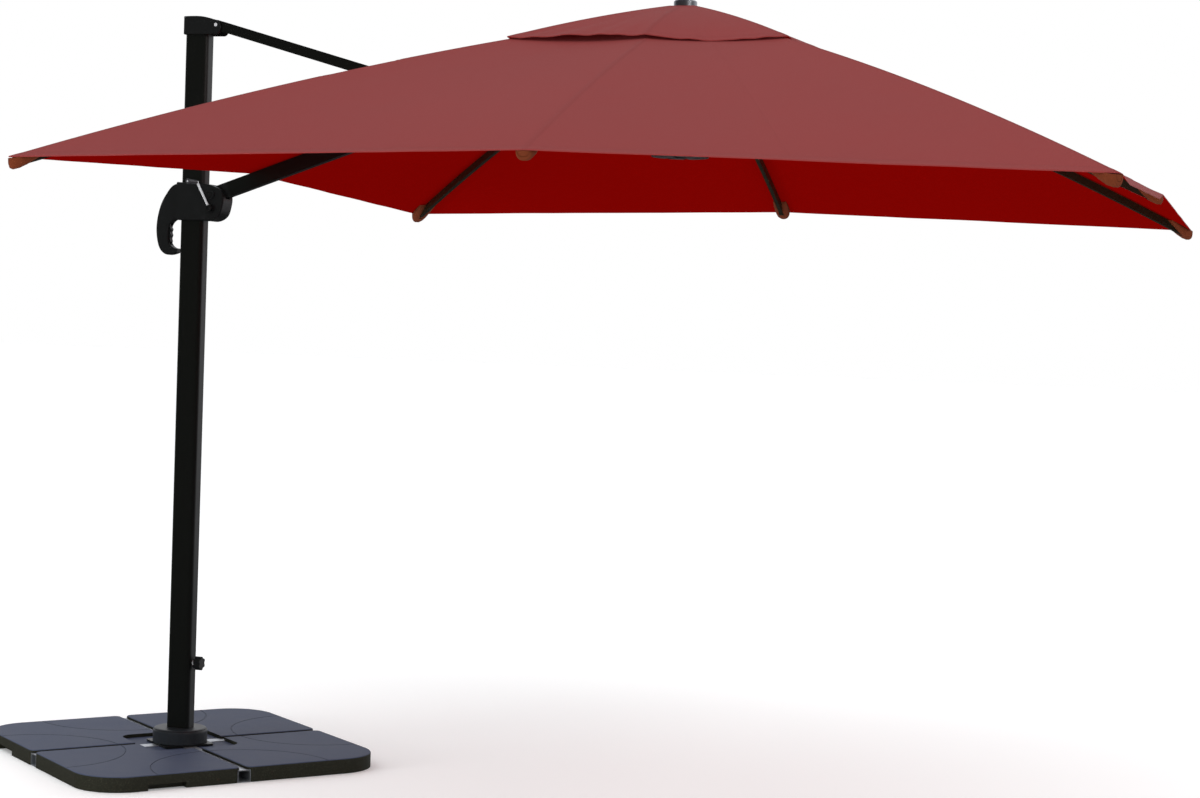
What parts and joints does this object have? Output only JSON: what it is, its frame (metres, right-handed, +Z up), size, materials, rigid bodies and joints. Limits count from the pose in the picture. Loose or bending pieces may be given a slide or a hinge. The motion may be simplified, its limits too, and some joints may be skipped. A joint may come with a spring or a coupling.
{
  "type": "cantilever patio umbrella",
  "caption": "Cantilever patio umbrella: square two-tier canopy on a folding boom, slider with crank and grip, turning mast and a four-plate weighted base.",
  "frame": {"origin": "on the floor, at the mast's axis, under the middle of the cross beams", "axes": "+Z up, +X along the boom from the mast to the canopy, +Y to the left of it"},
  "size_m": [3.8704, 3, 2.555],
  "materials": {
    "moulded_plate": "textured moulded plastic, dark blue-grey",
    "ballast": "cement filling",
    "galvanised_steel": "galvanised steel",
    "anthracite_aluminium": "powder-coated anthracite",
    "anthracite_steel": "powder-coated anthracite",
    "black_plastic": "satin black moulding",
    "grey_plastic": "satin grey moulding",
    "bearing_plastic": "natural acetal",
    "bright_steel": "zinc-plated or polished",
    "canopy_fabric": "woven polyester, wine red"
  },
  "bodies": {
    "base": {"right_plate": "moulded_plate", "back_plate": "moulded_plate", "left_plate": "moulded_plate", "front_plate": "moulded_plate", "ballast_cores": "ballast", "long_cross_beam": "galvanised_steel", "short_cross_beams": "galvanised_steel", "spigot_plate": "anthracite_steel", "spigot_tube": "anthracite_steel", "flange_bolts": "galvanised_steel"},
    "mast": {"mast_tube": "anthracite_aluminium", "knob_boss": "bright_steel", "turning_bushes": "bearing_plastic", "foot_cover": "black_plastic", "mast_cap": "black_plastic", "tie_bolt": "bright_steel", "cap_screws": "bright_steel"},
    "foot_knob": {"star_knob": "black_plastic", "knob_screw": "bright_steel"},
    "tie": {"front_tie_bar": "anthracite_aluminium", "back_tie_bar": "anthracite_aluminium", "tie_spacers": "bright_steel"},
    "boom": {"boom_tube": "anthracite_aluminium", "boom_inner_end": "black_plastic", "boom_outer_end": "black_plastic", "knee_bracket": "anthracite_steel", "boom_bolts": "bright_steel"},
    "slider": {"front_slider_shell": "black_plastic", "back_slider_shell": "black_plastic", "slider_liners": "bearing_plastic", "grip_handle": "black_plastic", "latch_pin": "anthracite_steel", "latch_spring": "bright_steel", "boom_bolt": "anthracite_steel"},
    "latch": {"grip_latch": "black_plastic"},
    "crank": {"winch_drum": "black_plastic", "crank_hub": "black_plastic", "crank_arm": "bright_steel"},
    "crank_grip": {"crank_knob": "grey_plastic"},
    "hub": {"crown": "black_plastic", "rib_pins": "bright_steel", "finial_cap": "bright_steel", "canopy": "canopy_fabric", "vent_canopy": "canopy_fabric"},
    "lower_hub": {"runner": "black_plastic", "stretcher_pins": "bright_steel"},
    "rib_front": {"rib_front": "anthracite_aluminium"},
    "stretcher_front": {"stretcher_front": "anthracite_aluminium"},
    "rib_right": {"rib_right": "anthracite_aluminium"},
    "stretcher_right": {"stretcher_right": "anthracite_aluminium"},
    "rib_back": {"rib_back": "anthracite_aluminium"},
    "stretcher_back": {"stretcher_back": "anthracite_aluminium"},
    "rib_front_left": {"rib_front_left": "anthracite_aluminium"},
    "stretcher_front_left": {"stretcher_front_left": "anthracite_aluminium"},
    "rib_front_right": {"rib_front_right": "anthracite_aluminium"},
    "stretcher_front_right": {"stretcher_front_right": "anthracite_aluminium"},
    "rib_back_right": {"rib_back_right": "anthracite_aluminium"},
    "stretcher_back_right": {"stretcher_back_right": "anthracite_aluminium"},
    "rib_back_left": {"rib_back_left": "anthracite_aluminium"},
    "stretcher_back_left": {"stretcher_back_left": "anthracite_aluminium"}
  },
  "joints": [
    {"name": "mast_turn", "type": "hinge", "parent": "base", "child": "mast", "pos_m": [0, 0, 0.046], "axis": [0, 0, 1], "continuous": true},
    {"name": "foot_knob_turn", "type": "hinge", "parent": "mast", "child": "foot_knob", "pos_m": [0.042, 0, 0.318], "axis": [1, 0, 0], "continuous": true},
    {"name": "stow_fold", "type": "hinge", "parent": "mast", "child": "tie", "pos_m": [0.074, 0, 2.482], "axis": [0, 1, 0], "range_deg": [0, 62], "deforming": ["canopy", "vent_canopy"]},
    {"name": "knee", "type": "hinge", "parent": "tie", "child": "boom", "pos_m": [0.97605, 0, 2.197], "axis": [0, 1, 0], "range_deg": [-124, 0]},
    {"name": "slider_pivot", "type": "hinge", "parent": "boom", "child": "slider", "pos_m": [0.074, 0, 1.912], "axis": [0, 1, 0], "range_deg": [0, 62]},
    {"name": "hub_level", "type": "hinge", "parent": "boom", "child": "hub", "pos_m": [1.584, 0, 2.44672], "axis": [0, 1, 0], "range_deg": [0, 62]},
    {"name": "grip_squeeze", "type": "hinge", "parent": "slider", "child": "latch", "pos_m": [-0.096, 0, 1.806], "axis": [0, 1, 0], "range_deg": [0, 6], "stiffness_Nm_per_rad": 6, "springref_deg": -2.86},
    {"name": "crank_turn", "type": "hinge", "parent": "slider", "child": "crank", "pos_m": [0.076, -0.046, 1.865], "axis": [0, -1, 0], "continuous": true},
    {"name": "crank_grip_spin", "type": "hinge", "parent": "crank", "child": "crank_grip", "pos_m": [0.02849, -0.076, 1.95071], "axis": [0, -1, 0], "continuous": true},
    {"name": "rib_front_fold", "type": "hinge", "parent": "hub", "child": "rib_front", "pos_m": [1.7, -0.07, 2.48], "axis": [1, 0, 0], "range_deg": [0, 64.68]},
    {"name": "stretcher_front_fold", "type": "hinge", "parent": "rib_front", "child": "stretcher_front", "pos_m": [1.7, -0.61761, 2.27604], "axis": [1, 0, 0], "range_deg": [-129.36, 0]},
    {"name": "rib_right_fold", "type": "hinge", "parent": "hub", "child": "rib_right", "pos_m": [1.77, 0, 2.48], "axis": [0, 1, 0], "range_deg": [0, 64.68]},
    {"name": "stretcher_right_fold", "type": "hinge", "parent": "rib_right", "child": "stretcher_right", "pos_m": [2.31761, 0, 2.27604], "axis": [0, 1, 0], "range_deg": [-129.36, 0]},
    {"name": "rib_back_fold", "type": "hinge", "parent": "hub", "child": "rib_back", "pos_m": [1.7, 0.07, 2.48], "axis": [-1, 0, 0], "range_deg": [0, 64.68]},
    {"name": "stretcher_back_fold", "type": "hinge", "parent": "rib_back", "child": "stretcher_back", "pos_m": [1.7, 0.61761, 2.27604], "axis": [-1, 0, 0], "range_deg": [-129.36, 0]},
    {"name": "rib_front_left_fold", "type": "hinge", "parent": "hub", "child": "rib_front_left", "pos_m": [1.6505, -0.0495, 2.48], "axis": [0.7071, -0.7071, 0], "range_deg": [0, 70.53]},
    {"name": "stretcher_front_left_fold", "type": "hinge", "parent": "rib_front_left", "child": "stretcher_front_left", "pos_m": [1.30127, -0.39873, 2.34893], "axis": [0.7071, -0.7071, 0], "range_deg": [-141.06, 0]},
    {"name": "rib_front_right_fold", "type": "hinge", "parent": "hub", "child": "rib_front_right", "pos_m": [1.7495, -0.0495, 2.48], "axis": [0.7071, 0.7071, 0], "range_deg": [0, 70.53]},
    {"name": "stretcher_front_right_fold", "type": "hinge", "parent": "rib_front_right", "child": "stretcher_front_right", "pos_m": [2.09873, -0.39873, 2.34893], "axis": [0.7071, 0.7071, 0], "range_deg": [-141.06, 0]},
    {"name": "rib_back_right_fold", "type": "hinge", "parent": "hub", "child": "rib_back_right", "pos_m": [1.7495, 0.0495, 2.48], "axis": [-0.7071, 0.7071, 0], "range_deg": [0, 70.53]},
    {"name": "stretcher_back_right_fold", "type": "hinge", "parent": "rib_back_right", "child": "stretcher_back_right", "pos_m": [2.09873, 0.39873, 2.34893], "axis": [-0.7071, 0.7071, 0], "range_deg": [-141.06, 0]},
    {"name": "rib_back_left_fold", "type": "hinge", "parent": "hub", "child": "rib_back_left", "pos_m": [1.6505, 0.0495, 2.48], "axis": [-0.7071, -0.7071, 0], "range_deg": [0, 70.53]},
    {"name": "stretcher_back_left_fold", "type": "hinge", "parent": "rib_back_left", "child": "stretcher_back_left", "pos_m": [1.30127, 0.39873, 2.34893], "axis": [-0.7071, -0.7071, 0], "range_deg": [-141.06, 0]},
    {"name": "lower_hub_level", "type": "hinge", "parent": "stretcher_right", "child": "lower_hub", "pos_m": [1.77, 0, 2.07207], "axis": [0, 1, 0], "range_deg": [0, 64.68]}
  ],
  "couplings": [
    {"joint": "knee", "follows": "stow_fold", "ratio": -2},
    {"joint": "slider_pivot", "follows": "stow_fold", "ratio": 1},
    {"joint": "hub_level", "follows": "stow_fold", "ratio": 1},
    {"joint": "rib_front_fold", "follows": "stow_fold", "ratio": 1.0433},
    {"joint": "stretcher_front_fold", "follows": "stow_fold", "ratio": -2.0865},
    {"joint": "rib_right_fold", "follows": "stow_fold", "ratio": 1.0433},
    {"joint": "stretcher_right_fold", "follows": "stow_fold", "ratio": -2.0865},
    {"joint": "rib_back_fold", "follows": "stow_fold", "ratio": 1.0433},
    {"joint": "stretcher_back_fold", "follows": "stow_fold", "ratio": -2.0865},
    {"joint": "rib_front_left_fold", "follows": "stow_fold", "ratio": 1.1376},
    {"joint": "stretcher_front_left_fold", "follows": "stow_fold", "ratio": -2.2752},
    {"joint": "rib_front_right_fold", "follows": "stow_fold", "ratio": 1.1376},
    {"joint": "stretcher_front_right_fold", "follows": "stow_fold", "ratio": -2.2752},
    {"joint": "rib_back_right_fold", "follows": "stow_fold", "ratio": 1.1376},
    {"joint": "stretcher_back_right_fold", "follows": "stow_fold", "ratio": -2.2752},
    {"joint": "rib_back_left_fold", "follows": "stow_fold", "ratio": 1.1376},
    {"joint": "stretcher_back_left_fold", "follows": "stow_fold", "ratio": -2.2752},
    {"joint": "lower_hub_level", "follows": "stow_fold", "ratio": 1.0433}
  ]
}
